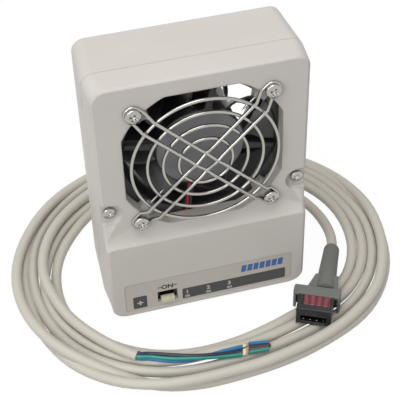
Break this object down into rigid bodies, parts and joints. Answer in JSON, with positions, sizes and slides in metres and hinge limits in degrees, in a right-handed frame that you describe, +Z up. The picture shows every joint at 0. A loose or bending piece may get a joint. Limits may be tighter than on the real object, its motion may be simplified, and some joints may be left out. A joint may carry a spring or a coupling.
{
  "type": "ionizing blower",
  "caption": "Compact bench ionizing blower: moulded two-part case, axial fan behind a wire finger guard, emitter needles, power switch, and its loose power cable coiled round it.",
  "frame": {"origin": "middle of the blower's box at its foot, on the surface it stands on; the cable's pieces are left out of that box", "axes": "+X to the right seen from the front, +Y from the air outlet to the rear, +Z up"},
  "size_m": [0.16, 0.14, 0.11],
  "materials": {
    "case_plastic": "warm light grey moulded ABS with a fine texture",
    "black_plastic": "black moulded plastic",
    "rotor_plastic": "black glass-filled plastic",
    "steel": "bright steel",
    "magnet": "bonded ferrite",
    "copper": "enamelled copper wire",
    "board": "green glass-epoxy board",
    "label": "grey film label, bare",
    "lead_red": "red PVC insulation",
    "lead_black": "black PVC insulation",
    "lead_white": "white silicone insulation",
    "plated_wire": "bright nickel-plated steel wire",
    "plated_steel": "bright nickel-plated steel",
    "holder_plastic": "grey insulating plastic",
    "potting": "dark potted resin",
    "knob_plastic": "cream moulded plastic",
    "brass": "tinned brass",
    "light_pipe": "clear diffusing plastic",
    "socket_plastic": "natural white nylon",
    "sleeve_blue": "dark blue shrink sleeve",
    "overlay_film": "light grey printed film",
    "cable_jacket": "warm grey PVC jacket",
    "core_blue": "blue core insulation",
    "core_brown": "brown core insulation",
    "core_green": "green core insulation",
    "core_dark": "dark violet core insulation",
    "plug_grey": "mid grey moulded plastic",
    "red_lid": "clear red plastic lid"
  },
  "bodies": {
    "root": {"front_cover": "case_plastic", "rear_cover": "case_plastic", "fan_frame": "black_plastic", "motor_mount": "black_plastic", "stator_core": "steel", "stator_coils": "copper", "motor_board": "board", "shaft_bearings": "steel", "motor_label": "label", "fan_lead_red": "lead_red", "fan_lead_black": "lead_black", "finger_guard": "plated_wire", "guard_screws": "plated_steel", "guard_nuts": "plated_steel", "case_screws": "plated_steel", "needle_holders": "holder_plastic", "emitter_needles": "steel", "control_board": "board", "high_voltage_module": "potting", "high_voltage_leads": "lead_white", "switch_body": "black_plastic", "switch_contacts": "brass", "indicator_lights": "light_pipe", "power_socket": "socket_plastic", "socket_pins": "brass", "filter_capacitor": "sleeve_blue", "panel_overlay": "overlay_film", "cable_coil": "cable_jacket", "cable_lead": "cable_jacket", "core_blue": "core_blue", "core_brown": "core_brown", "core_green": "core_green", "core_dark": "core_dark", "plug_boot": "plug_grey", "plug_hood": "plug_grey", "plug_body": "black_plastic", "plug_cover": "red_lid", "plug_contacts": "brass"},
    "rotor": {"fan_rotor": "rotor_plastic", "fan_shaft": "steel", "rotor_magnet": "magnet"},
    "knob": {"switch_knob": "knob_plastic"}
  },
  "joints": [
    {"name": "fan_spin", "type": "hinge", "parent": "root", "child": "rotor", "pos_m": [0, 0.00185, 0.0735], "axis": [0, 1, 0], "continuous": true},
    {"name": "switch_slide", "type": "slide", "parent": "root", "child": "knob", "axis": [0, 0, 1], "range_m": [0, 0.0024]}
  ]
}
